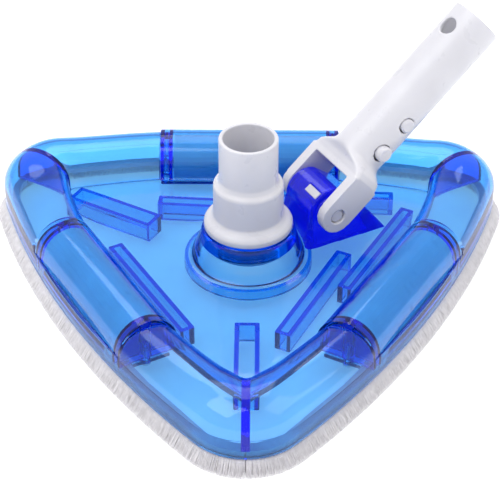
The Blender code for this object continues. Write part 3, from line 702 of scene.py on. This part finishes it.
def fork_and_socket():
    """The handle: fork, yoke and pole socket in one moulding."""
    bm = bmesh.new()
    yoke_y, yoke_z = LEG_OUTER - YOKE_TAPER, LEG_HALF + YOKE_SWELL
    sections = [(YOKE_START, LEG_OUTER, LEG_HALF, FORK_CORNER),
                (YOKE_END - 2 * MM, LEG_OUTER, LEG_HALF, FORK_CORNER),
                (YOKE_END, yoke_y, yoke_z, YOKE_CORNER)]
    rings = [[(x, y, z) for y, z in rounded(*size)] for x, *size in sections]
    for i in range(1, 9):
        f = i / 8
        ease = f * f * (3 - 2 * f)
        half_y = yoke_y * (1 - ease) + TUBE_RADIUS * ease
        half_z = yoke_z * (1 - ease) + TUBE_RADIUS * ease
        corner = min(half_y, half_z, YOKE_CORNER * (1 - ease) + TUBE_RADIUS * ease)
        rings.append([(YOKE_END + (TUBE_START - YOKE_END) * f, y, z)
                      for y, z in rounded(half_y, half_z, corner)])
    rings.append([(TUBE_END, y, z) for y, z in rounded(TUBE_RADIUS, TUBE_RADIUS, TUBE_RADIUS)])
    skin(bm, rings)
    made = finished("fork_and_socket", bm)
    legs = []
    for y in (-1, 1):
        bm = bmesh.new()
        outline = [(YOKE_START + 3 * MM, -LEG_HALF), (YOKE_START + 3 * MM, LEG_HALF),
                   *arc((0, 0), LEG_HALF, 90, 270, 32)]
        middle = Matrix.Translation((0, y * (LEG_INNER + LEG_OUTER) / 2, 0))
        half = (LEG_OUTER - LEG_INNER) / 2
        add_prism(bm, outline, -half, half, middle @ Matrix.Rotation(math.pi / 2, 4, "X"))
        legs.append(finished(f"leg_{y}", bm))
    join_mesh(made, legs, "UNION")
    cuts = [rod("bore", TUBE_BORE, TUBE_START, TUBE_END + 5 * MM, ALONG_X),
            rod("pin_hole", PIN_RADIUS + GAP, -THROUGH, THROUGH, ALONG_Y),
            rod("cross_hole", CROSS_HOLE, -THROUGH, THROUGH, Matrix.Translation((CROSS_HOLE_PLACE, 0, 0)))]
    for radius, x in BUTTON_HOLES:
        place = Matrix.Translation((x, 0, 0)) @ ALONG_Y
        cuts.append(rod("button_hole", radius, -THROUGH, THROUGH, place))
    join_mesh(made, cuts, "DIFFERENCE")
    remeshed(made, 0.5 * MM, 5)
    made.matrix_world = handle_place()
    piece(made, WHITE, "handle", "white_plastic", "handle")


def lug_shapes(inset, bottom):
    """Cheeks and foot of the lug, in its own place, shrunk by inset."""
    head = LUG_HEAD - inset
    pin_out = (PIN.xy - HOSE_AXIS).length
    near, tip = LUG_NEAR + 3.2 * inset - pin_out, LUG_TIP - 3 * inset - pin_out
    top = Vector(LUG_SHOULDER) - Vector((1, 1)) * inset
    outline = [(near, bottom + GAP), *arc((0, 0), head, 180, 65, 30), top, (tip - GAP, bottom + GAP)]
    bm = bmesh.new()
    skin(bm, [[(x, half, z) for x, z in outline] for half in (inset - LUG_HALF, LUG_HALF - inset)])
    cheeks = finished("lug_cheeks", bm)
    waist = 2 * MM - LUG_HEAD
    slope = top.lerp(Vector((tip, bottom)), (top.y - waist) / (top.y - bottom))
    rings = []
    for z, ends in ((bottom, ((near - GAP, LUG_FOOT_NEAR), (tip + GAP, LUG_FOOT_TIP))),
                    (waist, ((near + 3 * MM, LUG_HALF - GAP), (slope.x + GAP, LUG_HALF - GAP)))):
        (x1, w1), (x2, w2) = ends
        w1, w2 = w1 - inset, w2 - inset
        rings.append([(x1, -w1, z), (x2, -w2, z), (x2, w2, z), (x1, w1, z)])
    bm = bmesh.new()
    skin(bm, rings)
    return cheeks, finished("lug_foot", bm)


def neck_room(bottom):
    """The body's neck with a gap around it, in the lug's place."""
    away = (PIN.xy - HOSE_AXIS).length
    levels = ((BOSS_BASE + 3.6 * MM, bottom + PIN.z - 5 * MM), (BOSS_BASE + 3.6 * MM, DECK_TOP),
              (BOSS_BASE + 0.4 * MM, DECK_TOP + 2 * MM), (BOSS_BASE - 2.2 * MM, DECK_TOP + 8 * MM),
              (BOSS_TOP, BOSS_HEIGHT), (BOSS_TOP, 60 * MM))
    rings = [[(x - away, y, z - PIN.z) for x, y in arc((0, 0), radius + 2 * GAP, 0, 357, 119)]
             for radius, z in levels]
    bm = bmesh.new()
    skin(bm, rings)
    return finished("neck_room", bm)


def lug():
    """The hollow hinge lug. Its Booleans use the float solver: the exact one loses this shape."""
    bottom = DECK_TOP + GAP - PIN.z
    made, foot = lug_shapes(0, bottom)
    pads = rod("lug_pads", PAD_RADIUS, GAP - LEG_INNER, LEG_INNER - GAP, ALONG_Y)
    join_mesh(made, [foot, pads], "UNION", solver="FAST")
    cuts = [*lug_shapes(LUG_WALL, bottom - 5 * MM), neck_room(bottom)]
    join_mesh(made, cuts, "DIFFERENCE", solver="FAST")
    pin_hole = rod("pin_hole", PIN_RADIUS + GAP, -20 * MM, 20 * MM, ALONG_Y)
    bm = bmesh.new()
    slot_middle = (KEY_SLOT_START + KEY_SLOT_END) / 2
    add_box(bm, (KEY_SLOT_END - KEY_SLOT_START, KEY_LENGTH + 2 * GAP, KEY_WIDTH + 2 * GAP),
            Matrix.Rotation(-KEY_ANGLE, 4, "Y") @ Matrix.Translation((slot_middle, KEY_MIDDLE, 0)))
    join_mesh(made, [pin_hole, finished("key_slot", bm)], "DIFFERENCE", solver="FAST")
    remeshed(made, 0.45 * MM, 4)
    made.name = "hinge_lug"
    made.matrix_world = lug_place()
    piece(made, DEEP_BLUE, "head", "deep_blue", "pivot_lug")


# ---------------------------------------------------------------- carried-over nodes

def dress_nodes():
    """Materials for the CAD nodes that no new piece stands for."""
    for name, obj in frame["nodes"].items():
        if name.startswith("weight_cover"):
            dress(obj, CLEAR_BLUE)
        elif name.startswith("weight"):
            dress(obj, WEIGHT)
        elif name.startswith(("cover_screw", "clip_arm", "clip_bend")):
            dress(obj, STEEL)
        elif name == "connector_seal":
            dress(obj, RUBBER)
        elif name.startswith(("clip_button", "pivot_pin", "pin_key", "connector", "brush_holder")):
            dress(obj, WHITE)


# ---------------------------------------------------------------- stage

def stage():
    """A plain pale floor, a white studio around it and three soft lights."""
    bpy.ops.mesh.primitive_plane_add(size=8, location=(0, 0, -0.0002))
    floor = bpy.context.object
    floor.name = "floor"
    made, tree, shader = shader_tree("pale_floor")
    shader.inputs["Base Color"].default_value = (0.93, 0.93, 0.93, 1)
    shader.inputs["Roughness"].default_value = 0.8
    shader.inputs["Emission Color"].default_value = (1, 1, 1, 1)
    shader.inputs["Emission Strength"].default_value = 0.4
    dress(floor, made)
    world = bpy.data.worlds.new("studio")
    bpy.context.scene.world = world
    world.use_nodes = True
    background = world.node_tree.nodes["Background"]
    background.inputs["Color"].default_value = (1, 1, 1, 1)
    background.inputs["Strength"].default_value = 0.7
    lights = (("key", (-0.7, -0.5, 1.4), 1.2, 12), ("fill", (1.0, -0.3, 1.1), 1.0, 4),
              ("back", (-0.15, 0.75, 1.4), 1.1, 8))
    for name, place, size, power in lights:
        light = bpy.data.lights.new(name, "AREA")
        light.size, light.energy = size, power
        lamp = bpy.data.objects.new(name, light)
        lamp.location = place
        lamp.rotation_euler = (Vector((0, 0, 0.03)) - lamp.location).to_track_quat("-Z", "Y").to_euler()
        bpy.context.scene.collection.objects.link(lamp)


def camera():
    level = math.cos(CAMERA_HEIGHT_ANGLE)
    back = Vector((math.sin(CAMERA_TURN) * level, -math.cos(CAMERA_TURN) * level,
                   math.sin(CAMERA_HEIGHT_ANGLE)))
    data = bpy.data.cameras.new("camera")
    data.sensor_width = 36
    data.lens = CAMERA_LENS
    data.shift_x, data.shift_y = CAMERA_SHIFT
    made = bpy.data.objects.new("camera", data)
    made.location = Vector((*HOSE_AXIS, CAMERA_TARGET)) + back * CAMERA_DISTANCE
    roll = Matrix.Rotation(CAMERA_ROLL, 4, "Z")
    made.matrix_world = Matrix.Translation(made.location) @ (
        (-back).to_track_quat("-Z", "Y").to_matrix().to_4x4() @ roll)
    bpy.context.scene.collection.objects.link(made)
    bpy.context.scene.camera = made


body()
brush()
connector()
fork_and_socket()
lug()
dress_nodes()
stage()
camera()
bpy.context.scene.view_settings.view_transform = "Standard"
bpy.context.scene.cycles.max_bounces = 24
bpy.context.scene.cycles.transmission_bounces = 24
